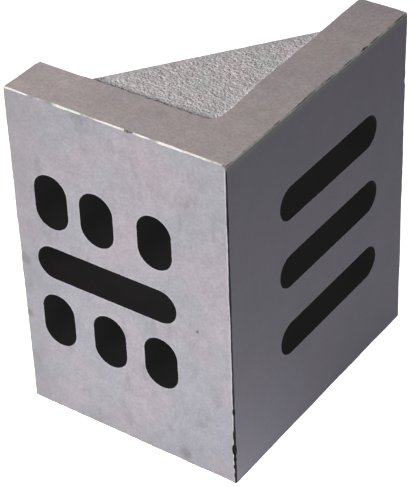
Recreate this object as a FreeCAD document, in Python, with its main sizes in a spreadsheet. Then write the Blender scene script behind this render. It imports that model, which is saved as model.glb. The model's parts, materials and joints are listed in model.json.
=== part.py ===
import FreeCAD, Part
import math
import os

import Sketcher

# Slotted angle plate with webbed ends: one grey-iron casting, machined on its outer faces.
# It stands on one machined end. The short leg runs along X, the long leg along Y, and Z is up.
# The origin is the middle of the footprint, at floor level. All sizes are in millimetres.

NODE = "angle_plate"
SHEET = "Sizes"

PLATE_SIZES = {
    "plate_height": 152.4,
    "short_leg": 101.6,
    "long_leg": 127.0,
    "wall_thickness": 21.5,
    "web_thickness": 18.5,
    "web_recess": 1.2,
    "web_along_short_leg": 60.2,
    "web_along_long_leg": 82.0,
    "web_edge_radius": 3.5,
    "cast_fillet": 5.0,
    "edge_break": 0.6,
    "upright_slot_width": 15.9,
    "cross_slot_width": 15.5,
    "bar_slot_width": 15.2,
}

# Each cored slot has its own centre (distance from the outer corner, height) and length:
# the cores settle a little out of line in the mould, so the rows are not perfectly even.
UPRIGHT_SLOTS = {
    "upper_toe": (82.9, 105.7, 25.1),
    "upper_middle": (61.1, 105.3, 24.7),
    "upper_corner": (34.0, 105.6, 24.3),
    "lower_toe": (84.2, 47.3, 25.2),
    "lower_middle": (58.8, 47.2, 25.1),
    "lower_corner": (34.0, 47.4, 24.5),
}
CROSS_SLOTS = {
    "cross": (58.8, 76.0, 67.1),
}
BAR_SLOTS = {
    "top_bar": (69.3, 112.1, 70.5),
    "middle_bar": (69.5, 80.3, 71.9),
    "bottom_bar": (69.6, 47.1, 72.0),
}

START, END, CENTRE = 1, 2, 3  # the point numbers of a sketch line or arc
ORIGIN = (-1, 1)  # the sketch's own origin, as a geometry and point number
CLOSE = 0.01  # two places nearer than this are the same


def make_sheet(doc):
    """Put every driving size in a spreadsheet cell, with its name as the alias."""
    sizes = dict(PLATE_SIZES)
    for slots in (UPRIGHT_SLOTS, CROSS_SLOTS, BAR_SLOTS):
        for name, (from_corner, height, length) in slots.items():
            sizes[f"{name}_from_corner"] = from_corner
            sizes[f"{name}_height"] = height
            sizes[f"{name}_length"] = length
    sheet = doc.addObject("Spreadsheet::Sheet", SHEET)
    for row, (name, value) in enumerate(sizes.items(), start=1):
        sheet.set(f"A{row}", name)
        sheet.set(f"B{row}", str(value))
        sheet.setAlias(f"B{row}", name)
    doc.recompute()
    return sheet


def cells(formula):
    """Turn {size_name} in a formula into a reference to that size's cell."""
    return formula.replace("{", f"{SHEET}.").replace("}", "")


def value(item, formula):
    """The number that a formula over the sheet gives now."""
    return float(item.evalExpression(cells(formula)))


def new_sketch(body, name, plane_role, lift="0"):
    """Attach a sketch to one of the body's origin planes, lifted along the plane's normal."""
    sketch = body.newObject("Sketcher::SketchObject", name)
    plane = next(item for item in body.Origin.OriginFeatures if item.Role == plane_role)
    sketch.AttachmentSupport = (plane, [""])
    sketch.MapMode = "FlatFace"
    sketch.setExpression("AttachmentOffset.Base.z", cells(lift))
    return sketch


def dimension(sketch, name, kind, places, formula):
    """Add a named driving dimension and bind it to the sheet."""
    rule = Sketcher.Constraint(kind, *places, value(sketch, formula))
    sketch.renameConstraint(sketch.addConstraint(rule), name)
    sketch.setExpression(f"Constraints.{name}", cells(formula))


def closed_outline(sketch, corners):
    """Join the corners with straight lines, and hold the level and upright ones so."""
    for index, (here, after) in enumerate(zip(corners, corners[1:] + corners[:1])):
        line = Part.LineSegment(FreeCAD.Vector(*here, 0), FreeCAD.Vector(*after, 0))
        sketch.addGeometry(line, False)
        if here[1] == after[1]:
            sketch.addConstraint(Sketcher.Constraint("Horizontal", index))
        elif here[0] == after[0]:
            sketch.addConstraint(Sketcher.Constraint("Vertical", index))
    for index in range(len(corners)):
        after = (index + 1) % len(corners)
        sketch.addConstraint(Sketcher.Constraint("Coincident", index, END, after, START))


def leg_sketch(body):
    """Both legs as one L, with the outer corner at +X, -Y."""
    sketch = new_sketch(body, "leg_outline", "XY_Plane")
    half_x = value(sketch, "{short_leg} / 2")
    half_y = value(sketch, "{long_leg} / 2")
    wall = value(sketch, "{wall_thickness}")
    corners = [
        (half_x, -half_y),
        (half_x, half_y),
        (half_x - wall, half_y),
        (half_x - wall, wall - half_y),
        (-half_x, wall - half_y),
        (-half_x, -half_y),
    ]
    closed_outline(sketch, corners)
    long_face, long_toe, _, _, short_toe, short_face = range(len(corners))
    for name, kind, places, formula in (
        ("corner_x", "DistanceX", (*ORIGIN, long_face, START), "{short_leg} / 2"),
        ("corner_y", "DistanceY", (long_face, START, *ORIGIN), "{long_leg} / 2"),
        ("short_leg", "DistanceX", (short_face, START, short_face, END), "{short_leg}"),
        ("long_leg", "DistanceY", (long_face, START, long_face, END), "{long_leg}"),
        ("long_wall", "DistanceX", (long_toe, END, long_toe, START), "{wall_thickness}"),
        ("short_wall", "DistanceY", (short_toe, END, short_toe, START), "{wall_thickness}"),
    ):
        dimension(sketch, name, kind, places, formula)
    return sketch


def web_sketch(body):
    """The three-cornered web between the legs, let half a wall into each of them."""
    sketch = new_sketch(body, "web_outline", "XY_Plane", "{web_recess}")
    inner_x = value(sketch, "{short_leg} / 2 - {wall_thickness}")
    inner_y = value(sketch, "{wall_thickness} - {long_leg} / 2")
    overlap = value(sketch, "{wall_thickness} / 2")
    tip_x = inner_x - value(sketch, "{web_along_short_leg}")
    tip_y = inner_y + value(sketch, "{web_along_long_leg}")
    corners = [
        (inner_x + overlap, inner_y - overlap),
        (inner_x + overlap, tip_y),
        (inner_x, tip_y),
        (tip_x, inner_y),
        (tip_x, inner_y - overlap),
    ]
    closed_outline(sketch, corners)
    root, on_long_leg, slope, on_short_leg, _ = range(len(corners))
    for name, kind, places, formula in (
        ("root_x", "DistanceX", (*ORIGIN, root, START), "({short_leg} - {wall_thickness}) / 2"),
        ("root_y", "DistanceY", (root, START, *ORIGIN), "({long_leg} - {wall_thickness}) / 2"),
        ("in_long_leg", "DistanceX", (on_long_leg, END, on_long_leg, START), "{wall_thickness} / 2"),
        ("in_short_leg", "DistanceY", (on_short_leg, END, on_short_leg, START), "{wall_thickness} / 2"),
        ("slope_x", "DistanceX", (slope, END, slope, START), "{web_along_short_leg}"),
        ("slope_y", "DistanceY", (slope, END, slope, START), "{web_along_long_leg}"),
    ):
        dimension(sketch, name, kind, places, formula)
    return sketch


def add_slot(sketch, name, along, width, upright):
    """Draw one round-ended slot. along is the formula for its centre across the sketch."""
    up = f"{{{name}_height}}"
    run = f"{{{name}_length}} - {width}"
    radius = value(sketch, f"{width} / 2")
    heading = math.pi / 2 if upright else 0
    centre = FreeCAD.Vector(value(sketch, along), value(sketch, up), 0)
    half_run = FreeCAD.Vector(math.cos(heading), math.sin(heading), 0) * value(sketch, run) / 2

    def rim(middle, angle):
        return middle + FreeCAD.Vector(math.cos(angle), math.sin(angle), 0) * radius

    def half_circle(middle, angle):
        circle = Part.Circle(middle, FreeCAD.Vector(0, 0, 1), radius)
        return Part.ArcOfCircle(circle, angle, angle + math.pi)

    far, near = centre + half_run, centre - half_run
    right, left = heading - math.pi / 2, heading + math.pi / 2
    shapes = [
        Part.LineSegment(rim(near, right), rim(far, right)),
        half_circle(far, right),
        Part.LineSegment(rim(far, left), rim(near, left)),
        half_circle(near, left),
    ]
    loop = sketch.addGeometry(shapes, False)
    for one, other in zip(loop, loop[1:] + loop[:1]):
        sketch.addConstraint(Sketcher.Constraint("Tangent", one, END, other, START))
    side, far_end, _, near_end = loop
    sketch.addConstraint(Sketcher.Constraint("Equal", far_end, near_end))
    sketch.addConstraint(Sketcher.Constraint("Vertical" if upright else "Horizontal", side))
    run_kind = "DistanceY" if upright else "DistanceX"
    near_along = along if upright else f"{along} - ({run}) / 2"
    near_up = f"{up} - ({run}) / 2" if upright else up
    for part_name, kind, places, formula in (
        ("radius", "Radius", (far_end,), f"{width} / 2"),
        ("run", run_kind, (near_end, CENTRE, far_end, CENTRE), run),
        ("along", "DistanceX", (*ORIGIN, near_end, CENTRE), near_along),
        ("up", "DistanceY", (*ORIGIN, near_end, CENTRE), near_up),
    ):
        dimension(sketch, f"{name}_{part_name}", kind, places, formula)


def short_leg_slots(body):
    """Six upright slots round one long cross slot, drawn on the short leg's outer face."""
    sketch = new_sketch(body, "short_leg_slots", "XZ_Plane", "{long_leg} / 2")
    for name in UPRIGHT_SLOTS:
        along = f"{{short_leg}} / 2 - {{{name}_from_corner}}"
        add_slot(sketch, name, along, "{upright_slot_width}", upright=True)
    for name in CROSS_SLOTS:
        along = f"{{short_leg}} / 2 - {{{name}_from_corner}}"
        add_slot(sketch, name, along, "{cross_slot_width}", upright=False)
    return sketch


def long_leg_slots(body):
    """Three long slots, one above the other, drawn on the long leg's outer face."""
    sketch = new_sketch(body, "long_leg_slots", "YZ_Plane", "{short_leg} / 2")
    for name in BAR_SLOTS:
        along = f"{{{name}_from_corner}} - {{long_leg}} / 2"
        add_slot(sketch, name, along, "{bar_slot_width}", upright=False)
    return sketch


def pad(body, name, profile, length):
    feature = body.newObject("PartDesign::Pad", name)
    feature.Profile = profile
    feature.setExpression("Length", cells(length))
    return feature


def cut_slots(doc, body, name, profile):
    """Cut the drawn slots through one wall, and make sure that they took metal away."""
    before = body.Shape.Volume
    feature = body.newObject("PartDesign::Pocket", name)
    feature.Profile = profile
    feature.Reversed = False
    feature.setExpression("Length", cells("{wall_thickness} + {cast_fillet}"))
    doc.recompute()
    if body.Shape.Volume > before - CLOSE:
        raise RuntimeError(f"{name} cuts nothing")


def second_web(doc, body, web):
    """Repeat the web at the other end of the plate."""
    feature = body.newObject("PartDesign::LinearPattern", "second_web")
    feature.Originals = [web]
    feature.Direction = (web.Profile[0], ["N_Axis"])
    feature.setExpression("Length", cells("{plate_height} - 2 * {web_recess} - {web_thickness}"))
    feature.Occurrences = 2
    body.Tip = feature
    doc.recompute()


def edges_where(shape, wanted):
    """Names of the straight edges whose middle point and direction pass the test."""
    names = []
    for number, edge in enumerate(shape.Edges, start=1):
        if edge.Degenerated or edge.Curve.TypeId != "Part::GeomLine":
            continue
        first, last = (vertex.Point for vertex in edge.Vertexes)
        if wanted((first + last) / 2, (last - first).normalize()):
            names.append(f"Edge{number}")
    return names


def dress_edges(doc, body, kind, name, size_property, formula, wanted):
    """Fillet or chamfer every edge that passes the test."""
    base = body.Tip
    names = edges_where(base.Shape, wanted)
    if not names:
        raise RuntimeError(f"{name} finds no edge")
    feature = body.newObject(kind, name)
    feature.Base = (base, names)
    feature.setExpression(size_property, cells(formula))
    doc.recompute()


def near(one, other):
    return abs(one - other) < CLOSE


def round_inner_corners(doc, body, sheet):
    """Blend the webs into the legs, and the legs into each other between the webs."""
    inner_x = sheet.short_leg / 2 - sheet.wall_thickness
    inner_y = sheet.wall_thickness - sheet.long_leg / 2
    low = sheet.web_recess + sheet.web_thickness
    high = sheet.plate_height - low

    def between_webs(middle, heading):
        on_long_leg, on_short_leg = near(middle.x, inner_x), near(middle.y, inner_y)
        if near(abs(heading.z), 1):
            return on_long_leg and on_short_leg and low < middle.z < high
        return (on_long_leg or on_short_leg) and (near(middle.z, low) or near(middle.z, high))

    dress_edges(
        doc, body, "PartDesign::Fillet", "inner_fillets", "Radius", "{cast_fillet}", between_webs
    )


def round_web_edges(doc, body, sheet):
    """Round both long edges of each web's open side."""
    slope = FreeCAD.Vector(sheet.web_along_short_leg, sheet.web_along_long_leg, 0).normalize()

    def along_slope(middle, heading):
        return near(abs(heading.dot(slope)), 1)

    dress_edges(
        doc, body, "PartDesign::Fillet", "web_edges", "Radius", "{web_edge_radius}", along_slope
    )


def break_machined_edges(doc, body, sheet):
    """Take the sharpness off the edges where two machined faces meet."""
    half_x, half_y = sheet.short_leg / 2, sheet.long_leg / 2

    def between_machined_faces(middle, heading):
        on_side = near(abs(middle.x), half_x)
        on_front = near(abs(middle.y), half_y)
        on_end = near(middle.z, 0) or near(middle.z, sheet.plate_height)
        return on_side + on_front + on_end == 2

    dress_edges(
        doc,
        body,
        "PartDesign::Chamfer",
        "broken_edges",
        "Size",
        "{edge_break}",
        between_machined_faces,
    )


def make_plate(doc, sheet):
    """Build the casting, core its slots and machine its edges."""
    body = doc.addObject("PartDesign::Body", "Plate")
    body.Label = NODE
    doc.recompute()
    pad(body, "legs", leg_sketch(body), "{plate_height}")
    web = pad(body, "web", web_sketch(body), "{web_thickness}")
    doc.recompute()
    second_web(doc, body, web)
    round_inner_corners(doc, body, sheet)
    round_web_edges(doc, body, sheet)
    cut_slots(doc, body, "short_leg_openings", short_leg_slots(body))
    cut_slots(doc, body, "long_leg_openings", long_leg_slots(body))
    break_machined_edges(doc, body, sheet)
    body.Placement = FreeCAD.Placement()
    return body


def check_document(doc, body):
    """Stop before anything is written if a feature or the finished solid is not sound."""
    for item in doc.Objects:
        if "Invalid" in item.State or "Error" in item.State:
            raise RuntimeError(f"{item.Name} is {item.State}")
    shape = body.Shape
    if shape.isNull() or not shape.isValid() or len(shape.Solids) != 1:
        raise RuntimeError(f"{body.Label} is not one sound solid")


def main():
    doc = FreeCAD.newDocument("angle_plate")
    sheet = make_sheet(doc)
    body = make_plate(doc, sheet)
    doc.recompute()
    check_document(doc, body)
    os.makedirs("parts", exist_ok=True)
    body.Shape.exportStep(f"parts/{body.Label}.step")
    box = body.Shape.BoundBox
    print(f"{body.Label}: {box.XLength:.2f} x {box.YLength:.2f} x {box.ZLength:.2f} mm")
    print(f"volume {body.Shape.Volume:.0f} cubic mm")


if __name__ == "__main__":
    main()
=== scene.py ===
import json
import math

import bmesh
import bpy
import numpy as np
from mathutils import Matrix, Vector, noise


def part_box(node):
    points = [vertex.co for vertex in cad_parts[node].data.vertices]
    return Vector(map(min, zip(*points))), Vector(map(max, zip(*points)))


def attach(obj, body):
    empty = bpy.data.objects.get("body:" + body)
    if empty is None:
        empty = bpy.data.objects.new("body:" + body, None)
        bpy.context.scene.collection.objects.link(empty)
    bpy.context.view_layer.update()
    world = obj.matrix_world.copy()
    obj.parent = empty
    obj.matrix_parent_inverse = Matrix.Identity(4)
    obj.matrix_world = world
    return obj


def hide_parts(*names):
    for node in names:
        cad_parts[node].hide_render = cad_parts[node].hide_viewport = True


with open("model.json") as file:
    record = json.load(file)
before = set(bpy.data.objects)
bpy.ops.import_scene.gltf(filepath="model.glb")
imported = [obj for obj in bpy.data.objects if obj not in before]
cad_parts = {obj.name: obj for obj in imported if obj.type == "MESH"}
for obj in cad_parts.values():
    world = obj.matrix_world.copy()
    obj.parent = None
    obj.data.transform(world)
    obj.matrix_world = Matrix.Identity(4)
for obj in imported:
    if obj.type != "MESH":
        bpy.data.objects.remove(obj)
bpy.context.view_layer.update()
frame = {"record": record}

# Slotted angle plate with webbed ends. The mesh is made the way the real one is: a rough sand
# casting first, then the machine cuts that leave its outer faces and ends flat, and the cored slots.
# Shapes are worked out in millimetres in the frame's axes and become metres when a mesh is made.

MM = 0.001
NODE = "angle_plate"
MOUNTS = {mount["name"]: mount for mount in frame["record"]["mounts"]}

# ---------------------------------------------------------------- sizes

BOX_LOW, BOX_HIGH = (np.array(corner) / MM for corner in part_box(NODE))
HEIGHT = BOX_HIGH[2]
WALL = 2 * (BOX_HIGH[0] - MOUNTS["foot_end"]["pos_m"][0] / MM)
INNER_X = BOX_HIGH[0] - WALL
INNER_Y = BOX_LOW[1] + WALL
WEB_THICKNESS = 18.5
WEB_RECESS = 1.2
WEB_ON_SHORT_LEG = 60.2
WEB_ON_LONG_LEG = 82.0
WEB_EDGE_RADIUS = 3.5
BAY_FILLET = 5.0
END_FILLET = 2.6

# ---------------------------------------------------------------- camera

CAMERA_PLACE = (385.4, -537.0, 547.2)
CAMERA_AZIMUTH = 36.087
CAMERA_ELEVATION = 36.428
CAMERA_ROLL = -2.36
CAMERA_LENS = 147.6


def make_camera():
    """A long lens, looking down on the outer corner."""
    data = bpy.data.cameras.new("camera")
    data.lens = CAMERA_LENS
    data.sensor_width = 36
    data.clip_start, data.clip_end = 0.05, 50
    camera = bpy.data.objects.new("camera", data)
    bpy.context.scene.collection.objects.link(camera)
    turn = (
        Matrix.Rotation(math.radians(CAMERA_AZIMUTH), 4, "Z")
        @ Matrix.Rotation(math.radians(90 - CAMERA_ELEVATION), 4, "X")
        @ Matrix.Rotation(math.radians(CAMERA_ROLL), 4, "Z")
    )
    camera.matrix_world = Matrix.Translation(Vector(CAMERA_PLACE) * MM) @ turn
    bpy.context.scene.camera = camera


make_camera()

# ---------------------------------------------------------------- the rough casting


def round_union(one, other, radius):
    """Join two distances with a fillet in the hollow between them."""
    gap = np.hypot(np.maximum(radius - one, 0), np.maximum(radius - other, 0))
    return np.maximum(radius, np.minimum(one, other)) - gap


def round_overlap(one, other, radius):
    """Keep what is inside both distances, with the edge between them rounded."""
    gap = np.hypot(np.maximum(radius + one, 0), np.maximum(radius + other, 0))
    return np.minimum(-radius, np.maximum(one, other)) + gap


SLOPE = Vector((-WEB_ON_LONG_LEG, WEB_ON_SHORT_LEG)).normalized()


def slope_distance(x, y):
    """How far a point is beyond the sloping edge of the webs."""
    return (x - INNER_X + WEB_ON_SHORT_LEG) * SLOPE.x + (y - INNER_Y) * SLOPE.y


def casting_distance(points):
    """How far each point is outside the casting, before anything is machined off it."""
    x, y, z = points[..., 0], points[..., 1], points[..., 2]
    from_middle = np.abs(z - HEIGHT / 2)
    web_middle = HEIGHT / 2 - WEB_RECESS - WEB_THICKNESS / 2
    near_head = np.clip((z - HEIGHT + 12) / 12, 0, 1)
    washed_out = near_head * (0.9 + 1.3 * np.exp(-(((y + 32) / 13) ** 2)))
    washed_out = washed_out * np.clip((44 - y) / 12, 0, 1)
    legs = round_union(INNER_X + washed_out - x, y - INNER_Y, BAY_FILLET)
    past_slope = slope_distance(x, y)
    beyond_web = np.abs(from_middle - web_middle) - WEB_THICKNESS / 2
    web = round_overlap(past_slope, beyond_web, WEB_EDGE_RADIUS)
    fillet = np.where(from_middle < web_middle, BAY_FILLET, END_FILLET)
    return round_union(legs, web, fillet)


def surface_net(distance, low, high, step):
    """Points and four-sided faces of the surface where the distance is nought."""
    axes = [np.arange(a, b + step, step) for a, b in zip(low, high)]
    grid = np.stack(np.meshgrid(*axes, indexing="ij"), -1)
    field = distance(grid)
    cells = tuple(n - 1 for n in field.shape)
    total, count = np.zeros(cells + (3,)), np.zeros(cells)
    crossings = []
    for axis in range(3):
        here = np.moveaxis(field, axis, 0)[:-1]
        after = np.moveaxis(field, axis, 0)[1:]
        crossed = (here < 0) != (after < 0)
        share = np.where(crossed, here / np.where(crossed, here - after, 1), 0)
        place = np.moveaxis(grid, axis, 0)[:-1].copy()
        place[..., axis] += share * step
        crossed, leaving = (np.moveaxis(a, 0, axis) for a in (crossed, here < 0))
        place = np.moveaxis(place, 0, axis)
        crossings.append((crossed, leaving))
        for shift in np.ndindex(2, 2):
            window = [slice(None)] * 3
            for side, offset in zip([a for a in range(3) if a != axis], shift):
                window[side] = slice(offset, offset + cells[side])
            count += crossed[tuple(window)]
            total += place[tuple(window)] * crossed[tuple(window)][..., None]
    used = count > 0
    number = np.full(cells, -1)
    number[used] = np.arange(used.sum())
    points = total[used] / count[used][:, None]
    faces = []
    for axis, (crossed, leaving) in enumerate(crossings):
        side, other = [(axis + 1) % 3, (axis + 2) % 3]
        inner = [slice(None)] * 3
        inner[side] = inner[other] = slice(1, -1)
        start = np.argwhere(crossed[tuple(inner)])
        start[:, side] += 1
        start[:, other] += 1
        outward = leaving[tuple(start.T)]
        corners = []
        for back in ((1, 1), (0, 1), (0, 0), (1, 0)):
            cell = start.copy()
            cell[:, side] -= back[0]
            cell[:, other] -= back[1]
            corners.append(number[tuple(cell.T)])
        quads = np.stack(corners, 1)
        faces.append(np.where(outward[:, None], quads, quads[:, ::-1]))
    return points, np.concatenate(faces)


def gradient(distance, points, reach=0.05):
    """Which way the distance grows fastest at each point."""
    slopes = [
        distance(points + reach * unit) - distance(points - reach * unit) for unit in np.eye(3)
    ]
    slopes = np.stack(slopes, -1) / (2 * reach)
    return slopes / np.maximum(np.linalg.norm(slopes, axis=-1, keepdims=True), 1e-6)


def make_object(name, points, faces=None):
    """A closed mesh object from points in millimetres."""
    mesh = bpy.data.meshes.new(name)
    mesh.from_pydata([tuple(p) for p in np.asarray(points) * MM], [], faces.tolist())
    made = bpy.data.objects.new(name, mesh)
    bpy.context.scene.collection.objects.link(made)
    return made


STOCK = 3.0  # how far the casting stands proud of every machined face
GRID = 1.0
FINE_CUTS = 2
FINE_DEPTH = 5.5


def with_stock(points):
    """The casting's distance, ended just outside the faces that will be machined."""
    outside = np.maximum(BOX_LOW - STOCK - points, points - BOX_HIGH - STOCK).max(-1)
    return np.maximum(casting_distance(points), outside)


def sand_relief(point, strength):
    """Height of the sand-cast skin at a point: low lumps, grains, creases and blow holes."""
    lumps = noise.fractal(point / 5.5, 0.8, 2.1, 2)
    grains = noise.noise(point / 0.95) + 0.6 * noise.noise(point / 1.9)
    near, far = noise.voronoi(point / 1.5)[0][:2]
    creases = min(far - near, 0.25) - 0.25
    pit = min(noise.voronoi(point / 4.6 + Vector((7, 3, 1)))[0][0] - 0.17, 0)
    return strength * (0.16 * lumps + 0.2 * grains + 0.6 * creases + 4.0 * pit)


def skin_strength(place, normal):
    """Coarse sand on the webs, finer on the legs, and a smoother strip along the sloping edge."""
    if abs(normal[2]) < 0.5:
        return 0.3
    from_slope = -slope_distance(place[0], place[1])
    return 0.25 + 0.75 * min(max(from_slope / 4.5 - 0.4, 0), 1)


def rough_casting():
    """The casting with its sand skin, finer where the top web shows."""
    points, faces = surface_net(with_stock, BOX_LOW - STOCK - 1, BOX_HIGH + STOCK + 1, GRID)
    casting = make_object("casting", points, faces)
    work = bmesh.new()
    work.from_mesh(casting.data)
    top = (HEIGHT - FINE_DEPTH) * MM
    over = (HEIGHT + GRID) * MM
    inner_x, inner_y = (INNER_X + GRID) * MM, (INNER_Y - GRID) * MM
    fine = set()
    for face in work.faces:
        middle = face.calc_center_median()
        if top < middle.z < over and middle.x < inner_x and middle.y > inner_y:
            fine.update(face.edges)
    bmesh.ops.subdivide_edges(work, edges=list(fine), cuts=FINE_CUTS, use_grid_fill=True)
    places = np.array([vertex.co for vertex in work.verts]) / MM
    for _ in range(2):
        places -= with_stock(places)[:, None] * gradient(with_stock, places)
    normals = gradient(with_stock, places)
    for vertex, place, normal in zip(work.verts, places, normals):
        height = sand_relief(Vector(place), skin_strength(place, normal))
        vertex.co = Vector(place + normal * height) * MM
    work.to_mesh(casting.data)
    work.free()
    return casting


# ---------------------------------------------------------------- machined faces

EDGE_BREAK = 0.5
EDGE_STATION = 1.3


def block_edge(work, along, sides, shift):
    """One broken edge of the block: two ragged rows and the strip of faces between them."""
    one, other = (along + 1) % 3, (along + 2) % 3
    limits = (BOX_LOW, BOX_HIGH)
    start, end = BOX_LOW[along] + EDGE_BREAK, BOX_HIGH[along] - EDGE_BREAK
    steps = round((end - start) / EDGE_STATION)
    rows = ([], [])
    for step in range(steps + 1):
        place = start + (end - start) * step / steps
        for row, (flat, slanted) in enumerate(((one, other), (other, one))):
            inset = EDGE_BREAK
            if 0 < step < steps:
                sample = Vector((place / 2.6, shift + row * 9.7, sides[0] * 5 + sides[1]))
                slow = Vector((place / 17.0, shift - 4.0, sides[0] * 3 - sides[1]))
                inset *= 1 + 0.4 * noise.noise(sample) + 0.7 * noise.noise(slow)
            side = {one: sides[0], other: sides[1]}
            point = [0, 0, 0]
            point[along] = place
            point[flat] = limits[side[flat]][flat]
            point[slanted] = limits[side[slanted]][slanted] + inset * (1 - 2 * side[slanted])
            rows[row].append(work.verts.new(Vector(point) * MM))
    for first, second in zip(range(steps), range(1, steps + 1)):
        work.faces.new((rows[0][first], rows[0][second], rows[1][second], rows[1][first]))


def machined_block():
    """The box that the machine cuts leave, with its sharp edges broken by hand."""
    work = bmesh.new()
    for along in range(3):
        for sides in np.ndindex(2, 2):
            block_edge(work, along, sides, along * 3.3)
    for corner in np.ndindex(2, 2, 2):
        limit = np.where(corner, BOX_HIGH, BOX_LOW)
        inset = np.where(corner, -EDGE_BREAK, EDGE_BREAK)
        points = [limit + inset * (np.arange(3) != axis) for axis in range(3)]
        work.faces.new([work.verts.new(Vector(point) * MM) for point in points])
    bmesh.ops.remove_doubles(work, verts=work.verts, dist=0.001 * MM)
    rims = [edge for edge in work.edges if edge.is_boundary]
    bmesh.ops.holes_fill(work, edges=rims, sides=0)
    bmesh.ops.recalc_face_normals(work, faces=work.faces)
    block = make_object("block", np.zeros((0, 3)), np.zeros((0, 3), int))
    work.to_mesh(block.data)
    work.free()
    return block


# ---------------------------------------------------------------- node helpers


def add_node(tree, kind, inputs=None, **settings):
    """Place a node, set it up, and fill its inputs with values or other nodes' outputs."""
    node = tree.nodes.new(kind)
    for name, value in settings.items():
        setattr(node, name, value)
    for name, value in (inputs or {}).items():
        if isinstance(value, bpy.types.NodeSocket):
            tree.links.new(value, node.inputs[name])
        else:
            node.inputs[name].default_value = value
    return node


def sum_up(tree, operation, *values):
    """The output of a Math node."""
    return add_node(
        tree, "ShaderNodeMath", dict(enumerate(values)), operation=operation
    ).outputs[0]


def new_sockets(tree, inputs, outputs):
    """Named inputs and outputs of a node tree, and the nodes that carry them."""
    for direction, sockets in (("INPUT", inputs), ("OUTPUT", outputs)):
        for name, (kind, value) in sockets.items():
            socket = tree.interface.new_socket(
                name=name, in_out=direction, socket_type=f"NodeSocket{kind}"
            )
            if value is not None:
                socket.default_value = value
    given = tree.nodes.new("NodeGroupInput")
    result = tree.nodes.new("NodeGroupOutput")
    return given.outputs, result.inputs


# ---------------------------------------------------------------- cored slots

SLOT_FACETS = 0.8  # length of one facet round a slot
SLOT_RINGS = 1.5
MOUTH_ROUND = 1.8  # rounding of a slot's rough mouth inside the casting
SLOT_GRAIN = 0.5  # how rough a slot's wall is


def make_slot_tree():
    """The sand core of one slot, along X, pushed down from the machined face at Z = 0."""
    tree = bpy.data.node_groups.new("slot core", "GeometryNodeTree")
    given, result = new_sockets(
        tree,
        {
            "Run": ("Float", 10.0),
            "Radius": ("Float", 8.0),
            "Wall": ("Float", 20.0),
            "Mouth round": ("Float", 2.0),
            "Grain": ("Float", 0.2),
            "Seed": ("Float", 0.0),
            "Skin": ("Material", None),
        },
        {"Core": ("Geometry", None)},
    )
    width = sum_up(tree, "MULTIPLY", given["Radius"], 2.0)
    length = sum_up(tree, "ADD", given["Run"], width)
    outline = add_node(
        tree,
        "GeometryNodeCurvePrimitiveQuadrilateral",
        {"Width": length, "Height": width},
    )
    rounded = add_node(
        tree,
        "GeometryNodeFilletCurve",
        {"Curve": outline.outputs[0], "Count": 24, "Radius": given["Radius"], "Limit Radius": True},
        mode="POLY",
    )
    outline = add_node(
        tree,
        "GeometryNodeResampleCurve",
        {"Curve": rounded.outputs[0], "Length": SLOT_FACETS},
        mode="LENGTH",
    )
    bottom = sum_up(tree, "SUBTRACT", -2.0, given["Wall"])
    line = add_node(
        tree,
        "GeometryNodeCurvePrimitiveLine",
        {
            "Start": (0, 0, 1),
            "End": add_node(tree, "ShaderNodeCombineXYZ", {"Z": bottom}).outputs[0],
        },
    )
    line = add_node(
        tree,
        "GeometryNodeResampleCurve",
        {"Curve": line.outputs[0], "Length": SLOT_RINGS},
        mode="LENGTH",
    )
    core = add_node(
        tree,
        "GeometryNodeCurveToMesh",
        {"Curve": line.outputs[0], "Profile Curve": outline.outputs[0], "Fill Caps": True},
    )
    place = tree.nodes.new("GeometryNodeInputPosition").outputs[0]
    axes = add_node(tree, "ShaderNodeSeparateXYZ", {0: place}).outputs
    reach = sum_up(tree, "MULTIPLY", given["Run"], 0.5)
    back = sum_up(tree, "MULTIPLY", reach, -1.0)
    centre = sum_up(tree, "MINIMUM", sum_up(tree, "MAXIMUM", axes["X"], back), reach)
    spoke = add_node(
        tree, "ShaderNodeCombineXYZ", {"X": sum_up(tree, "SUBTRACT", axes["X"], centre), "Y": axes["Y"]}
    )
    outward = add_node(tree, "ShaderNodeVectorMath", {0: spoke.outputs[0]}, operation="NORMALIZE")
    depth = sum_up(tree, "MULTIPLY", axes["Z"], -1.0)
    into_mouth = sum_up(
        tree, "ADD", sum_up(tree, "SUBTRACT", depth, given["Wall"]), given["Mouth round"]
    )
    into_mouth = sum_up(
        tree, "MINIMUM", sum_up(tree, "MAXIMUM", into_mouth, 0.0), given["Mouth round"]
    )
    left_over = sum_up(
        tree,
        "SUBTRACT",
        sum_up(tree, "POWER", given["Mouth round"], 2.0),
        sum_up(tree, "POWER", into_mouth, 2.0),
    )
    flare = sum_up(tree, "SUBTRACT", given["Mouth round"], sum_up(tree, "SQRT", left_over))
    grain = add_node(
        tree,
        "ShaderNodeTexNoise",
        {"Vector": place, "W": given["Seed"], "Scale": 0.42, "Detail": 3.0, "Roughness": 0.6},
        noise_dimensions="4D",
    )
    grain = sum_up(
        tree, "MULTIPLY", sum_up(tree, "SUBTRACT", grain.outputs[0], 0.5), given["Grain"]
    )
    shift = add_node(
        tree,
        "ShaderNodeVectorMath",
        {0: outward.outputs[0], "Scale": sum_up(tree, "ADD", flare, grain)},
        operation="SCALE",
    )
    moved = add_node(
        tree,
        "GeometryNodeSetPosition",
        {"Geometry": core.outputs[0], "Offset": shift.outputs[0]},
    )
    real = add_node(tree, "GeometryNodeRealizeInstances", {"Geometry": moved.outputs[0]})
    skinned = add_node(
        tree,
        "GeometryNodeSetMaterial",
        {"Geometry": real.outputs[0], "Material": given["Skin"]},
    )
    tree.links.new(skinned.outputs[0], result["Core"])
    return tree


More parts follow.
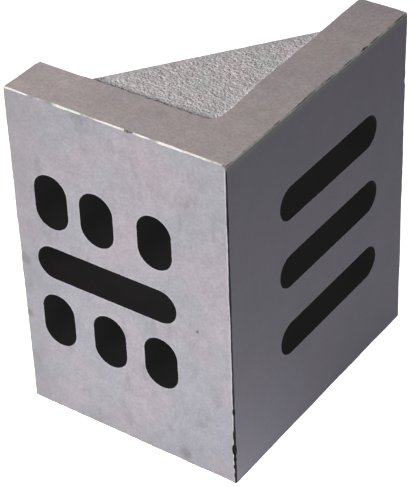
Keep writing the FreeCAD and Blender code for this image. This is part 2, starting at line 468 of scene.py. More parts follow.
def slots_of_record():
    """Each cored slot as its middle, the way it faces, the way it runs, its length and half width."""
    found = []
    for mount in MOUNTS.values():
        sizes = mount["dims"]
        if "slot_length_mm" not in sizes:
            continue
        middle = Vector(mount["pos_m"]) / MM
        facing = Vector(mount["axis"])
        level = mount["kind"] == "other"
        runs = Vector((0, 0, 1)).cross(facing) if level else Vector((0, 0, 1))
        apart = sizes.get("spacing_y_mm", 0) * Vector((0, 0, 0.5))
        steps = (-1, 1) if sizes["count"] == 2 else (0,)
        for step in steps:
            half = sizes["hole_r_mm"]
            found.append((middle + apart * step, facing, runs, sizes["slot_length_mm"], half))
    return found


def plain_mesh(made):
    """The mesh that an object's modifiers give."""
    seen = made.evaluated_get(bpy.context.evaluated_depsgraph_get())
    return bpy.data.meshes.new_from_object(seen)


def grow(tree, values):
    """The plain mesh that a tree gives for these inputs."""
    seed = make_object("seed", np.zeros((0, 3)), np.zeros((0, 3), int))
    grown = seed.modifiers.new(tree.name, "NODES")
    grown.node_group = tree
    socket = {item.name: item.identifier for item in tree.interface.items_tree}
    for name, value in values.items():
        grown[socket[name]] = value
    mesh = plain_mesh(seed)
    bpy.data.objects.remove(seed)
    return mesh


def join_meshes(name, meshes, skin):
    """One object out of separate closed meshes, all in one finish."""
    joined = bmesh.new()
    for mesh in meshes:
        joined.from_mesh(mesh)
    made = make_object(name, np.zeros((0, 3)), np.zeros((0, 3), int))
    joined.to_mesh(made.data)
    joined.free()
    made.data.materials.append(skin)
    return made


def slot_cores(skin):
    """Every slot's sand core where it stands in the mould."""
    tree = make_slot_tree()
    meshes = []
    for number, (middle, facing, runs, length, half) in enumerate(slots_of_record()):
        mesh = grow(
            tree,
            {
                "Run": length - 2 * half,
                "Radius": half,
                "Wall": WALL,
                "Mouth round": MOUTH_ROUND,
                "Grain": SLOT_GRAIN,
                "Seed": 3.7 * number,
                "Skin": skin,
            },
        )
        turn = Matrix((runs, facing.cross(runs), facing)).transposed().to_4x4()
        mesh.transform(Matrix.Scale(MM, 4) @ Matrix.Translation(middle) @ turn)
        meshes.append(mesh)
    return join_meshes("cores", meshes, skin)


# ---------------------------------------------------------------- nicks in the edges

# Where an edge was knocked, how far the bruise reaches along each axis.
NICKS = (
    ((50.7, -63.4, 37.8), (0.5, 0.5, 1.7)),
    ((50.7, -63.4, 25.6), (0.6, 0.45, 2.8)),
    ((50.6, -63.3, 18.1), (1.0, 0.7, 2.3)),
    ((50.7, -63.4, 13.2), (0.7, 0.5, 1.3)),
    ((50.7, -63.4, 9.2), (0.7, 0.5, 1.1)),
    ((50.8, -63.4, 4.6), (0.6, 0.4, 1.9)),
    ((50.8, -63.5, 0.1), (0.6, 0.6, 0.9)),
    ((50.9, -63.6, 152.3), (0.6, 0.6, 0.8)),
    ((7.9, -63.5, 152.4), (0.7, 0.5, 0.5)),
    ((-50.8, -63.5, 45.5), (0.6, 0.6, 1.0)),
    ((-50.8, -63.4, 41.0), (0.5, 0.5, 0.8)),
    ((-50.8, -42.9, 152.3), (0.8, 1.1, 0.6)),
    ((50.8, 63.5, 121.0), (0.6, 0.6, 1.6)),
    ((22.0, -63.5, 0.0), (3.0, 0.5, 0.5)),
    ((-50.8, -55.0, 0.0), (0.6, 1.6, 0.6)),
    ((50.8, 22.0, 0.0), (0.5, 1.7, 0.5)),
    ((50.8, 31.0, 152.4), (0.5, 1.2, 0.4)),
)


def make_nick_tree():
    """A ragged little lump, to be taken out of an edge."""
    tree = bpy.data.node_groups.new("nick", "GeometryNodeTree")
    given, result = new_sockets(
        tree,
        {
            "Middle": ("Vector", None),
            "Reach": ("Vector", None),
            "Grain": ("Float", 0.5),
            "Seed": ("Float", 0.0),
            "Skin": ("Material", None),
        },
        {"Nick": ("Geometry", None)},
    )
    ball = add_node(tree, "GeometryNodeMeshIcoSphere", {"Radius": 1.0, "Subdivisions": 3})
    place = tree.nodes.new("GeometryNodeInputPosition").outputs[0]
    rough = add_node(
        tree,
        "ShaderNodeTexNoise",
        {"Vector": place, "W": given["Seed"], "Scale": 1.6, "Detail": 2.0},
        noise_dimensions="4D",
    )
    swell = sum_up(tree, "MULTIPLY_ADD", rough.outputs[0], given["Grain"], 1.0)
    swollen = add_node(tree, "ShaderNodeVectorMath", {0: place, "Scale": swell}, operation="SCALE")
    stretched = add_node(
        tree,
        "ShaderNodeVectorMath",
        {0: swollen.outputs[0], 1: given["Reach"], 2: given["Middle"]},
        operation="MULTIPLY_ADD",
    )
    moved = add_node(
        tree,
        "GeometryNodeSetPosition",
        {"Geometry": ball.outputs[0], "Position": stretched.outputs[0]},
    )
    real = add_node(tree, "GeometryNodeRealizeInstances", {"Geometry": moved.outputs[0]})
    skinned = add_node(
        tree, "GeometryNodeSetMaterial", {"Geometry": real.outputs[0], "Material": given["Skin"]}
    )
    tree.links.new(skinned.outputs[0], result["Nick"])
    return tree


def nick_lumps(skin):
    tree = make_nick_tree()
    meshes = []
    for number, (middle, reach) in enumerate(NICKS):
        mesh = grow(
            tree,
            {"Middle": middle, "Reach": reach, "Grain": 0.7, "Seed": 1.9 * number, "Skin": skin},
        )
        mesh.transform(Matrix.Scale(MM, 4))
        meshes.append(mesh)
    return join_meshes("nicks", meshes, skin)


# ---------------------------------------------------------------- patterns for the finishes


def place_in_mm(tree):
    """Where a point of the piece is, in millimetres."""
    place = add_node(tree, "ShaderNodeTexCoord").outputs["Object"]
    return add_node(
        tree, "ShaderNodeVectorMath", {0: place, "Scale": 1000.0}, operation="SCALE"
    ).outputs[0]


def clouds(tree, place, size, detail=2.0, seed=0.0):
    """Random patches about this many millimetres across, around a half."""
    return add_node(
        tree,
        "ShaderNodeTexNoise",
        {"Vector": place, "W": seed, "Scale": sum_up(tree, "DIVIDE", 1.0, size), "Detail": detail},
        noise_dimensions="4D",
    ).outputs[0]


def swing(tree, value, amount):
    """A factor that swings this much either way about one."""
    centred = sum_up(tree, "SUBTRACT", value, 0.5)
    return sum_up(tree, "MULTIPLY_ADD", centred, sum_up(tree, "MULTIPLY", amount, 2.0), 1.0)


def fade(tree, value, low, high, start=0.0, end=1.0):
    """A smooth step from start to end while the value goes from low to high."""
    return add_node(
        tree,
        "ShaderNodeMapRange",
        {"Value": value, "From Min": low, "From Max": high, "To Min": start, "To Max": end},
        interpolation_type="SMOOTHSTEP",
    ).outputs[0]


def blend(tree, share, one, other):
    """From one colour to the other."""
    return add_node(
        tree, "ShaderNodeMix", {0: share, 6: one, 7: other}, data_type="RGBA"
    ).outputs[2]


def tone(tree, colour, factor):
    """The colour made lighter or darker."""
    return add_node(
        tree, "ShaderNodeVectorMath", {0: colour, "Scale": factor}, operation="SCALE"
    ).outputs[0]


def stretched(tree, place, stretch):
    """The place squeezed or drawn out along each axis."""
    return add_node(
        tree, "ShaderNodeVectorMath", {0: place, 1: stretch}, operation="MULTIPLY"
    ).outputs[0]


def pattern(name, inputs, outputs):
    """An empty group for a pattern that several finishes share."""
    tree = bpy.data.node_groups.new(name, "ShaderNodeTree")
    return tree, *new_sockets(tree, {"Place": ("Vector", None), **inputs}, outputs)


def use(tree, group, values):
    """Put a pattern in a finish, with its own values."""
    node = tree.nodes.new("ShaderNodeGroup")
    node.node_tree = group
    for name, value in values.items():
        if isinstance(value, bpy.types.NodeSocket):
            tree.links.new(value, node.inputs[name])
        else:
            node.inputs[name].default_value = value
    return node.outputs


def make_mottle():
    """Two hues in slow clouds, with patches and a fine grain of light and dark over them."""
    tree, given, result = pattern(
        "mottle",
        {
            "Warm": ("Color", None),
            "Cool": ("Color", None),
            "Cloud size": ("Float", 28.0),
            "Patches": ("Float", 0.05),
            "Grain size": ("Float", 0.8),
            "Grain": ("Float", 0.03),
        },
        {"Colour": ("Color", None)},
    )
    slow = clouds(tree, given["Place"], given["Cloud size"], 1.5)
    hue = blend(tree, fade(tree, slow, 0.36, 0.64), given["Warm"], given["Cool"])
    patch_size = sum_up(tree, "MULTIPLY", given["Cloud size"], 0.26)
    patches = clouds(tree, given["Place"], patch_size, 3.0, 2.0)
    fine = clouds(tree, given["Place"], given["Grain size"], 2.0, 5.0)
    shade = sum_up(
        tree, "MULTIPLY", swing(tree, patches, given["Patches"]), swing(tree, fine, given["Grain"])
    )
    tree.links.new(tone(tree, hue, shade), result["Colour"])
    return tree


def make_lay():
    """Fine lines that a cutter or a wheel leaves along one way."""
    tree, given, result = pattern(
        "lay of the cut",
        {"Along": ("Vector", None)},
        {"Height": ("Float", None)},
    )
    drawn = stretched(tree, given["Place"], given["Along"])
    fine = clouds(tree, drawn, 0.5, 2.0, 1.0)
    broad = clouds(tree, drawn, 2.6, 1.0, 4.0)
    tree.links.new(sum_up(tree, "MULTIPLY_ADD", broad, 0.6, fine), result["Height"])
    return tree


def make_edge_wear():
    """How near a point of the machined block is to one of its edges."""
    tree, given, result = pattern(
        "edge wear",
        {
            "Low corner": ("Vector", None),
            "High corner": ("Vector", None),
            "Width": ("Float", 1.0),
        },
        {"Mask": ("Float", None)},
    )
    depths = []
    for corner, order in (("Low corner", (0, 1)), ("High corner", (1, 0))):
        ends = (given["Place"], given[corner])
        depths.append(
            add_node(
                tree,
                "ShaderNodeVectorMath",
                {0: ends[order[0]], 1: ends[order[1]]},
                operation="SUBTRACT",
            ).outputs[0]
        )
    nearest = add_node(
        tree, "ShaderNodeVectorMath", {0: depths[0], 1: depths[1]}, operation="MINIMUM"
    )
    x, y, z = add_node(tree, "ShaderNodeSeparateXYZ", {0: nearest.outputs[0]}).outputs
    low, high = sum_up(tree, "MINIMUM", x, y), sum_up(tree, "MAXIMUM", x, y)
    second = sum_up(tree, "MAXIMUM", low, sum_up(tree, "MINIMUM", high, z))
    ragged = swing(tree, clouds(tree, given["Place"], 2.4, 2.0, 9.0), 1.2)
    reach = sum_up(tree, "MULTIPLY", ragged, given["Width"])
    near = sum_up(tree, "MULTIPLY", reach, 0.4)
    tree.links.new(fade(tree, second, near, reach, 1.0, 0.0), result["Mask"])
    return tree


def make_rim():
    """How far a point is outside the mouth of a slot that runs between two places."""
    tree, given, result = pattern(
        "slot rim",
        {
            "Start": ("Vector", None),
            "End": ("Vector", None),
            "Radius": ("Float", 5.0),
        },
        {"Distance": ("Float", None)},
    )

    def vectors(operation, one, other):
        return add_node(tree, "ShaderNodeVectorMath", {0: one, 1: other}, operation=operation)

    run = vectors("SUBTRACT", given["End"], given["Start"]).outputs[0]
    away = vectors("SUBTRACT", given["Place"], given["Start"]).outputs[0]
    share = sum_up(
        tree,
        "DIVIDE",
        vectors("DOT_PRODUCT", away, run).outputs["Value"],
        vectors("DOT_PRODUCT", run, run).outputs["Value"],
    )
    share = sum_up(tree, "MINIMUM", sum_up(tree, "MAXIMUM", share, 0.0), 1.0)
    left = vectors("DISTANCE", away, tone(tree, run, share)).outputs["Value"]
    tree.links.new(sum_up(tree, "SUBTRACT", left, given["Radius"]), result["Distance"])
    return tree


def make_corner_shade():
    """Painted shade, partly dirt, and a painted highlight beside it, down the outer corner of the two
    legs.
    """
    tree, given, result = pattern(
        "corner shade and highlight",
        {"Corner": ("Vector", None), "Width": ("Float", 0.6)},
        {"Shade and dirt": ("Float", None), "Highlight": ("Float", None)},
    )
    flat = stretched(tree, given["Place"], (1, 1, 0))
    away = add_node(
        tree,
        "ShaderNodeVectorMath",
        {0: flat, 1: stretched(tree, given["Corner"], (1, 1, 0))},
        operation="DISTANCE",
    ).outputs["Value"]
    drawn = stretched(tree, given["Place"], (1, 1, 0.3))
    ragged = swing(tree, clouds(tree, drawn, 1.6, 2.0, 3.0), 0.9)
    height = add_node(tree, "ShaderNodeSeparateXYZ", {0: given["Place"]}).outputs["Z"]
    lower = fade(tree, height, 4.0, 46.0, 1.4, 1.0)
    reach = sum_up(tree, "MULTIPLY", sum_up(tree, "MULTIPLY", ragged, lower), given["Width"])
    near = sum_up(tree, "MULTIPLY", reach, 0.8)
    head = sum_up(tree, "SUBTRACT", HEIGHT - 1.6, height)
    below_head = fade(tree, head, 0.0, 0.6)
    # painted shade in the corner's chamfer, partly dirt
    shade_and_dirt = fade(tree, away, near, reach, 1.0, 0.0)
    tree.links.new(sum_up(tree, "MULTIPLY", shade_and_dirt, below_head), result["Shade and dirt"])
    # painted highlight in a strip just beyond the shade
    outer = sum_up(tree, "ADD", reach, 0.75)
    bright = sum_up(tree, "MULTIPLY", fade(tree, away, reach, outer, 1.0, 0.0), below_head)
    tree.links.new(bright, result["Highlight"])
    return tree


def make_stain():
    """One soft-edged stain."""
    tree, given, result = pattern(
        "stain",
        {"Middle": ("Vector", None), "Reach": ("Float", 1.0)},
        {"Mask": ("Float", None)},
    )
    away = add_node(
        tree,
        "ShaderNodeVectorMath",
        {0: given["Place"], 1: given["Middle"]},
        operation="DISTANCE",
    ).outputs["Value"]
    ragged = swing(tree, clouds(tree, given["Place"], given["Reach"], 2.0, 6.0), 0.8)
    outer = sum_up(tree, "MULTIPLY", given["Reach"], ragged)
    inner = sum_up(tree, "MULTIPLY", outer, 0.35)
    tree.links.new(fade(tree, away, inner, outer, 1.0, 0.0), result["Mask"])
    return tree


def make_sand_grain():
    """The grain that moulding sand prints into cast iron, and its pin holes, with masks that paint
    shade into the holes and the low grains.
    """
    tree, given, result = pattern(
        "sand grain",
        {"Grain size": ("Float", 0.9)},
        {"Height": ("Float", None), "Shade in holes": ("Float", None), "Speckle and relief shade": ("Float", None)},
    )
    coarse = clouds(tree, given["Place"], given["Grain size"], 3.0, 1.0)
    fine = clouds(tree, given["Place"], sum_up(tree, "MULTIPLY", given["Grain size"], 0.4), 2.0, 8.0)
    speckle = sum_up(tree, "MULTIPLY_ADD", fine, 0.5, sum_up(tree, "MULTIPLY", coarse, 0.5))
    hole_size = sum_up(tree, "MULTIPLY", given["Grain size"], 4.2)
    cells = add_node(
        tree,
        "ShaderNodeTexVoronoi",
        {"Vector": given["Place"], "Scale": sum_up(tree, "DIVIDE", 1.0, hole_size)},
    ).outputs["Distance"]
    holes = fade(tree, cells, 0.05, 0.14, 1.0, 0.0)
    tree.links.new(sum_up(tree, "SUBTRACT", speckle, holes), result["Height"])
    tree.links.new(holes, result["Shade in holes"])
    tree.links.new(speckle, result["Speckle and relief shade"])
    return tree


# ---------------------------------------------------------------- finishes


def iron(name, colour, roughness, metallic):
    """A plain cast-iron shader to build a finish on."""
    material = bpy.data.materials.new(name)
    material.use_nodes = True
    shader = material.node_tree.nodes["Principled BSDF"]
    shader.inputs["Base Color"].default_value = (*colour, 1)
    shader.inputs["Roughness"].default_value = roughness
    shader.inputs["Metallic"].default_value = metallic
    return material


def finish_with(material, colour, height, depth):
    """Give a finish its colour, and relief as deep as this many millimetres."""
    tree = material.node_tree
    shader = tree.nodes["Principled BSDF"]
    tree.links.new(colour, shader.inputs["Base Color"])
    bump = add_node(tree, "ShaderNodeBump", {"Height": height, "Distance": depth * MM})
    tree.links.new(bump.outputs[0], shader.inputs["Normal"])
    return material


OUTER_CORNER = (BOX_HIGH[0], BOX_LOW[1], 0.0)
BLOCK = {"Low corner": tuple(BOX_LOW), "High corner": tuple(BOX_HIGH)}

# Stains on the short leg's face: middle, reach, how dark.
STAINS = (
    ((27.0, -63.5, 5.0), 4.6, 0.4),
    ((35.0, -63.5, 71.0), 1.0, 0.9),
    ((-6.0, -63.5, 24.0), 0.6, 0.3),
    ((20.0, -63.5, 133.0), 9.0, 0.05),
    ((31.0, -63.5, 124.0), 7.0, 0.05),
    ((-49.5, -63.5, 45.0), 3.4, 0.6),
    ((-49.0, -63.5, 73.0), 4.0, 0.45),
)


def slot_rims(tree, rim, place, facing):
    """Distance to the nearest slot mouth on the face that looks this way."""
    nearest = None
    for middle, looks, runs, length, half in slots_of_record():
        if looks.dot(facing) < 0.9:
            continue
        along = runs * (length / 2 - half)
        values = {
            "Place": place,
            "Start": tuple(middle - along),
            "End": tuple(middle + along),
            "Radius": half,
        }
        distance = use(tree, rim, values)["Distance"]
        nearest = distance if nearest is None else sum_up(tree, "MINIMUM", nearest, distance)
    return nearest


def short_leg_face(patterns):
    """Ground face, pinkish and blue-grey in clouds, handled a lot."""
    material = iron("ground face of the short leg", (0.156, 0.148, 0.167), 0.6, 0.25)
    tree = material.node_tree
    place = place_in_mm(tree)
    mottled = use(
        tree,
        patterns["mottle"],
        {
            "Place": place,
            "Warm": (0.149, 0.132, 0.148, 1),
            "Cool": (0.129, 0.128, 0.143, 1),
            "Cloud size": 26.0,
            "Patches": 0.2,
            "Grain size": 1.0,
            "Grain": 0.34,
        },
    )
    colour = mottled["Colour"]
    rubs = clouds(tree, stretched(tree, place, (1.0, 1.0, 0.45)), 6.0, 2.0, 12.0)
    colour = tone(tree, colour, fade(tree, rubs, 0.54, 0.72, 1.0, 0.82))
    rims = slot_rims(tree, patterns["rim"], place, Vector((0, -1, 0)))
    # lighter ring round each slot mouth: painted highlight of the mouth's edge, partly bright burr
    colour = tone(tree, colour, fade(tree, rims, 0.35, 0.9, 1.12, 1.0))
    for middle, reach, dark in STAINS:
        values = {"Place": place, "Middle": middle, "Reach": reach}
        mask = use(tree, patterns["stain"], values)["Mask"]
        colour = blend(tree, sum_up(tree, "MULTIPLY", mask, dark), colour, (0.03, 0.024, 0.02, 1))
    worn = use(tree, patterns["edge wear"], {"Place": place, **BLOCK, "Width": 1.3})["Mask"]
    x = add_node(tree, "ShaderNodeSeparateXYZ", {0: place}).outputs["X"]
    shade_by_toe = fade(tree, x, BOX_LOW[0], BOX_LOW[0] + 26.0, 0.7, 0.0)
    colour = blend(tree, sum_up(tree, "MULTIPLY", worn, 0.35), colour, (0.11, 0.105, 0.11, 1))
    # darker towards the toe end: painted shade
    colour = blend(tree, sum_up(tree, "MULTIPLY", shade_by_toe, 0.5), colour, (0.09, 0.09, 0.095, 1))
    corner_shade_and_highlight = use(
        tree, patterns["corner"], {"Place": place, "Corner": OUTER_CORNER, "Width": 0.5}
    )
    # painted highlight beside the outer corner, then painted shade (partly dirt) down the corner itself
    colour = blend(tree, corner_shade_and_highlight["Highlight"], colour, (0.235, 0.225, 0.245, 1))
    colour = blend(tree, corner_shade_and_highlight["Shade and dirt"], colour, (0.008, 0.008, 0.009, 1))
    lines = use(tree, patterns["lay"], {"Place": place, "Along": (1.0, 1.0, 0.05)})["Height"]
    return finish_with(material, colour, lines, 0.006)


def long_leg_face(patterns):
    """Ground face, very even, painted darker than the short leg's same finish as shade, with a dull
    strip and a painted highlight line where it meets the head end.
    """
    material = iron("ground face of the long leg", (0.156, 0.148, 0.167), 0.6, 0.25)
    tree = material.node_tree
    place = place_in_mm(tree)
    # These hues are darker than the short leg's, though both are the same ground finish: painted shade.
    mottled = use(
        tree,
        patterns["mottle"],
        {
            "Place": place,
            "Warm": (0.117, 0.107, 0.130, 1),
            "Cool": (0.110, 0.105, 0.127, 1),
            "Cloud size": 40.0,
            "Patches": 0.1,
            "Grain size": 1.0,
            "Grain": 0.18,
        },
    )
    colour = mottled["Colour"]
    height = add_node(tree, "ShaderNodeSeparateXYZ", {0: place}).outputs["Z"]
    edge = sum_up(tree, "SUBTRACT", HEIGHT, height)
    colour = blend(tree, fade(tree, edge, 2.2, 3.4, 0.8, 0.0), colour, (0.14, 0.145, 0.13, 1))
    # a lighter line just under the top edge: painted highlight
    colour = blend(tree, fade(tree, edge, 0.6, 0.9, 1.0, 0.0), colour, (0.34, 0.325, 0.31, 1))
    rims = slot_rims(tree, patterns["rim"], place, Vector((1, 0, 0)))
    # lighter ring round each slot mouth: painted highlight of the mouth's edge, partly bright burr
    colour = tone(tree, colour, fade(tree, rims, 0.3, 0.8, 1.1, 1.0))
    for middle, reach, dark in (((50.8, -5.9, 113.2), 0.5, 0.5), ((50.8, 41.0, 60.0), 1.0, 0.25)):
        values = {"Place": place, "Middle": middle, "Reach": reach}
        mask = use(tree, patterns["stain"], values)["Mask"]
        colour = blend(tree, sum_up(tree, "MULTIPLY", mask, dark), colour, (0.05, 0.04, 0.04, 1))
    corner_shade_and_highlight = use(
        tree, patterns["corner"], {"Place": place, "Corner": OUTER_CORNER, "Width": 0.45}
    )
    # painted shade, partly dirt, down the outer corner
    colour = blend(tree, corner_shade_and_highlight["Shade and dirt"], colour, (0.008, 0.008, 0.009, 1))
    lines = use(tree, patterns["lay"], {"Place": place, "Along": (1.0, 1.0, 0.05)})["Height"]
    return finish_with(material, colour, lines, 0.004)


def milled_end(patterns):
    """Cut ends of the legs: a browner grey, with the lay of the cutter."""
    material = iron("milled end", (0.26, 0.227, 0.24), 0.6, 0.25)
    tree = material.node_tree
    place = place_in_mm(tree)
    mottled = use(
        tree,
        patterns["mottle"],
        {
            "Place": place,
            "Warm": (0.320, 0.273, 0.277, 1),
            "Cool": (0.297, 0.261, 0.276, 1),
            "Cloud size": 22.0,
            "Patches": 0.18,
            "Grain size": 1.0,
            "Grain": 0.36,
        },
    )
    lines = use(tree, patterns["lay"], {"Place": place, "Along": (0.25, 0.25, 1.0)})["Height"]
    colour = tone(tree, mottled["Colour"], swing(tree, lines, 0.03))
    worn = use(tree, patterns["edge wear"], {"Place": place, **BLOCK, "Width": 0.9})["Mask"]
    colour = tone(tree, colour, fade(tree, worn, 0.0, 1.0, 1.0, 1.12))
    return finish_with(material, colour, lines, 0.006)


def broken_edge(patterns):
    """The stoned edges: bright in broken runs, partly bare metal and partly painted highlight, and
    black down the outer corner as painted shade, partly dirt.
    """
    material = iron("broken edge", (0.3, 0.29, 0.29), 0.65, 0.0)
    tree = material.node_tree
    tree.nodes["Principled BSDF"].inputs["Specular IOR Level"].default_value = 0.15
    place = place_in_mm(tree)
    # bright runs: partly bare metal, partly a painted highlight along the edge
    runs = fade(tree, clouds(tree, place, 7.0, 3.0, 2.0), 0.40, 0.58)
    colour = blend(tree, runs, (0.16, 0.155, 0.16, 1), (0.42, 0.41, 0.405, 1))
    grain = clouds(tree, place, 0.9, 2.0, 5.0)
    colour = tone(tree, colour, swing(tree, grain, 0.25))
    corner_shade_and_highlight = use(
        tree, patterns["corner"], {"Place": place, "Corner": OUTER_CORNER, "Width": 1.4}
    )
    # painted shade, partly dirt, down the outer corner
    colour = blend(tree, corner_shade_and_highlight["Shade and dirt"], colour, (0.006, 0.006, 0.006, 1))
    return finish_with(material, colour, grain, 0.02)


def cast_skin(patterns):
    """Sand-cast skin: brushed bare on the ends of the webs, dark and scaly in the bay."""
    material = iron("sand-cast skin", (0.28, 0.262, 0.278), 0.78, 0.1)
    tree = material.node_tree
    place = place_in_mm(tree)
    sand = use(tree, patterns["sand grain"], {"Place": place, "Grain size": 0.9})
    bare = use(
        tree,
        patterns["mottle"],
        {
            "Place": place,
            "Warm": (0.415, 0.378, 0.405, 1),
            "Cool": (0.380, 0.370, 0.388, 1),
            "Cloud size": 19.0,
            "Patches": 0.2,
            "Grain size": 1.1,
            "Grain": 0.4,
        },
    )["Colour"]
    dark = use(
        tree,
        patterns["mottle"],
        {
            "Place": place,
            "Warm": (0.080, 0.073, 0.070, 1),
            "Cool": (0.062, 0.062, 0.066, 1),
            "Cloud size": 24.0,
            "Patches": 0.3,
            "Grain size": 0.8,
            "Grain": 0.4,
        },
    )["Colour"]
    height = add_node(tree, "ShaderNodeSeparateXYZ", {0: place}).outputs["Z"]
    from_middle = sum_up(tree, "ABSOLUTE", sum_up(tree, "SUBTRACT", height, HEIGHT / 2))
    ragged = sum_up(tree, "MULTIPLY", clouds(tree, place, 3.0, 3.0, 4.0), 1.6)
    line = HEIGHT / 2 - WEB_RECESS
    brushed = fade(tree, sum_up(tree, "ADD", from_middle, ragged), line - 1.6, line - 0.4)
    colour = blend(tree, brushed, dark, bare)
    # pin holes painted darker as shade, and the tone follows the grain's relief: painted shade, partly
    # real speckle
    colour = blend(tree, sum_up(tree, "MULTIPLY", sand["Shade in holes"], 0.75), colour, (0.03, 0.027, 0.027, 1))
    colour = tone(tree, colour, swing(tree, sand["Speckle and relief shade"], 0.3))
    return finish_with(material, colour, sand["Height"], 0.11)


def slot_wall(patterns):
    """Cored wall: near-black, with a faint even glow painted in to stand for light."""
    material = iron("cored slot wall", (0.006, 0.006, 0.006), 0.9, 0.0)
    tree = material.node_tree
    shader = tree.nodes["Principled BSDF"]
    shader.inputs["Specular IOR Level"].default_value = 0.05
    # painted light: a faint glow that lifts the black walls evenly
    shader.inputs["Emission Color"].default_value = (0.0094, 0.0092, 0.0094, 1)
    shader.inputs["Emission Strength"].default_value = 1.0
    place = place_in_mm(tree)
    black = use(
        tree,
        patterns["mottle"],
        {
            "Place": place,
            "Warm": (0.0045, 0.003, 0.0033, 1),
            "Cool": (0.003, 0.003, 0.0033, 1),
            "Cloud size": 14.0,
            "Patches": 0.3,
            "Grain size": 0.9,
            "Grain": 0.4,
        },
    )["Colour"]
    sand = use(tree, patterns["sand grain"], {"Place": place, "Grain size": 0.9})
    return finish_with(material, black, sand["Height"], 0.1)


def nick_floor(patterns):
    """Torn metal in the nicks: nearly black on the outer corner as painted shade, partly dirt, and dull
    elsewhere.
    """
    material = iron("torn metal", (0.1, 0.095, 0.09), 0.7, 0.0)
    tree = material.node_tree
    place = place_in_mm(tree)
    corner_shade_and_highlight = use(
        tree, patterns["corner"], {"Place": place, "Corner": OUTER_CORNER, "Width": 3.5}
    )
    sand = use(tree, patterns["sand grain"], {"Place": place, "Grain size": 0.6})
    # the tone follows the grain's relief: painted shade, partly real speckle
    dull = tone(tree, (0.1, 0.095, 0.09), swing(tree, sand["Speckle and relief shade"], 0.4))
    # painted shade, partly dirt, down the outer corner
    colour = blend(tree, corner_shade_and_highlight["Shade and dirt"], dull, (0.004, 0.004, 0.004, 1))
    tree.nodes["Principled BSDF"].inputs["Specular IOR Level"].default_value = 0.1
    return finish_with(material, colour, sand["Height"], 0.08)


def make_finishes():
    patterns = {
        "mottle": make_mottle(),
        "lay": make_lay(),
        "edge wear": make_edge_wear(),
        "rim": make_rim(),
        "corner": make_corner_shade(),
        "stain": make_stain(),
        "sand grain": make_sand_grain(),
    }
    makers = {
        "skin": cast_skin,
        "core": slot_wall,
        "edge": broken_edge,
        "short leg": short_leg_face,
        "long leg": long_leg_face,
        "milled": milled_end,
        "nick": nick_floor,
    }
    return {part: make(patterns) for part, make in makers.items()}


# ---------------------------------------------------------------- the finished plate


def cut(body, tool, operation):
    """Cut one closed mesh with another, keeping each surface's own material."""
    step = body.modifiers.new("cut", "BOOLEAN")
    step.solver = "MANIFOLD"
    step.operation = operation
    step.material_mode = "TRANSFER"
    step.object = tool
    result = plain_mesh(body)
    body.modifiers.clear()
    body.data = result
    bpy.data.objects.remove(tool)


ON_FACE = 0.02  # how near its plane a machined surface lies
NICK_SPREAD = 1.7  # how far a nick's ragged floor goes, in times its reach
OUTER_SKIN = -60.0  # the legs' sand skin is all on the far side of this Y


def in_a_nick(middle):
    """Whether a place is inside one of the nicks."""
    return any(
        np.linalg.norm((middle - np.array(nick)) / np.array(reach)) < NICK_SPREAD
        for nick, reach in NICKS
    )


def finish_of(face):
    """Which finish a cut surface gets, and the way it looks where it lies on the block's side."""
    middle = np.array(face.center) / MM
    low, high = middle - BOX_LOW < ON_FACE, BOX_HIGH - middle < ON_FACE
    facing = high.astype(float) - low
    if low[1]:
        return "short leg", facing
    if high[0]:
        return "long leg", facing
    if facing.any():
        return "milled", facing
    return ("nick" if in_a_nick(middle) else "edge"), None


def make_plate(finishes):
    """Cast it, machine it, clear the slots, nick it, and give each surface its finish."""
    casting = rough_casting()
    casting.data.materials.append(finishes["skin"])
    block = machined_block()
    block.data.materials.append(finishes["milled"])
    cut(casting, block, "INTERSECT")
    cut(casting, slot_cores(finishes["core"]), "DIFFERENCE")
    cut(casting, nick_lumps(finishes["milled"]), "DIFFERENCE")
    casting.name = casting.data.name = "angle_plate_casting"
    mesh = casting.data
    cast_kinds = [
        number
        for number, material in enumerate(mesh.materials)
        if material.name != finishes["milled"].name
    ]
    places = {}
    for finish in ("milled", "edge", "nick", "short leg", "long leg"):
        mesh.materials.append(finishes[finish])
        places[finish] = len(mesh.materials) - 1
    normals = np.array([corner.vector for corner in mesh.corner_normals])
    for face in mesh.polygons:
        finish, facing = finish_of(face)
        cast = face.material_index in cast_kinds
        if cast and facing is None and (finish != "nick" or face.center.y > OUTER_SKIN * MM):
            continue
        face.material_index = places[finish]
        if facing is not None:
            normals[face.loop_indices] = facing
    for face in mesh.polygons:
        face.use_smooth = face.material_index in cast_kinds
    mesh.normals_split_custom_set(normals.tolist())
    return casting


# ---------------------------------------------------------------- floor and light


def area_light(name, place, target, size, power, colour=(1, 1, 1)):
    data = bpy.data.lights.new(name, "AREA")
    data.shape = "DISK"
    data.size = size
    data.energy = power
    data.color = colour
    lamp = bpy.data.objects.new(name, data)
    bpy.context.scene.collection.objects.link(lamp)
    lamp.location = place
    lamp.rotation_euler = (Vector(target) - Vector(place)).to_track_quat("-Z", "Y").to_euler()


# Light from under the table: middle of the pool, where it starts to fade, where it has faded, strength.
POOLS = (
    ((-0.1, 0.0, 0), 0.30, 0.60, 0.49),
    ((-0.02, -0.26, 0), 0.12, 0.30, 2.0),
)
TABLE_GLOW = 0.3


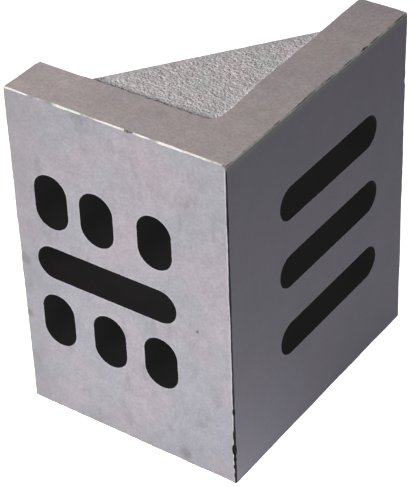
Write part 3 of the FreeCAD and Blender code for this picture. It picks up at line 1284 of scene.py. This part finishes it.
def make_studio():
    """A white table lit from below, a soft lamp before the short leg and a pale room."""
    mesh = bpy.data.meshes.new("table")
    half = 6.0
    corners = [(-half, -half, 0), (half, -half, 0), (half, half, 0), (-half, half, 0)]
    mesh.from_pydata(corners, [], [(0, 1, 2, 3)])
    table = bpy.data.objects.new("table", mesh)
    bpy.context.scene.collection.objects.link(table)
    white = iron("lit white table", (0.36, 0.36, 0.36), 0.9, 0.0)
    tree = white.node_tree
    shader = tree.nodes["Principled BSDF"]
    shader.inputs["Specular IOR Level"].default_value = 0.0
    shader.inputs["Emission Strength"].default_value = 1.0
    place = add_node(tree, "ShaderNodeTexCoord").outputs["Object"]
    glow = TABLE_GLOW
    for middle, near, far, strength in POOLS:
        away = add_node(tree, "ShaderNodeVectorMath", {0: place, 1: middle}, operation="DISTANCE")
        pool = add_node(
            tree,
            "ShaderNodeMapRange",
            {
                "Value": away.outputs["Value"],
                "From Min": near,
                "From Max": far,
                "To Min": strength,
                "To Max": 0.0,
            },
            interpolation_type="SMOOTHSTEP",
        )
        glow = sum_up(tree, "ADD", pool.outputs[0], glow)
    seen = add_node(tree, "ShaderNodeLightPath").outputs["Is Camera Ray"]
    glow = sum_up(tree, "MULTIPLY_ADD", seen, 0.5, glow)
    tree.links.new(tone(tree, (0.97, 0.965, 1.035), glow), shader.inputs["Emission Color"])
    mesh.materials.append(white)
    area_light("key", (-0.1, -0.965, 0.6), (0, -0.06, 0.09), 0.5, 21.6, (1, 0.984, 0.93))
    area_light("rear fill", (-1.0, 0.6, 0.7), (0, 0, 0.08), 1.0, 5.8)
    world = bpy.data.worlds.new("room")
    world.use_nodes = True
    tree = world.node_tree
    shader = tree.nodes["Background"]
    shader.inputs["Color"].default_value = (0.95, 0.97, 1, 1)
    seen = add_node(tree, "ShaderNodeLightPath").outputs["Is Camera Ray"]
    bright = add_node(tree, "ShaderNodeMapRange", {"Value": seen, "To Min": 0.07, "To Max": 1.15})
    tree.links.new(bright.outputs[0], shader.inputs["Strength"])
    bpy.context.scene.world = world
    bpy.context.scene.view_settings.view_transform = "Standard"


plate = make_plate(make_finishes())
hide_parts(NODE)
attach(plate, "root")
make_studio()
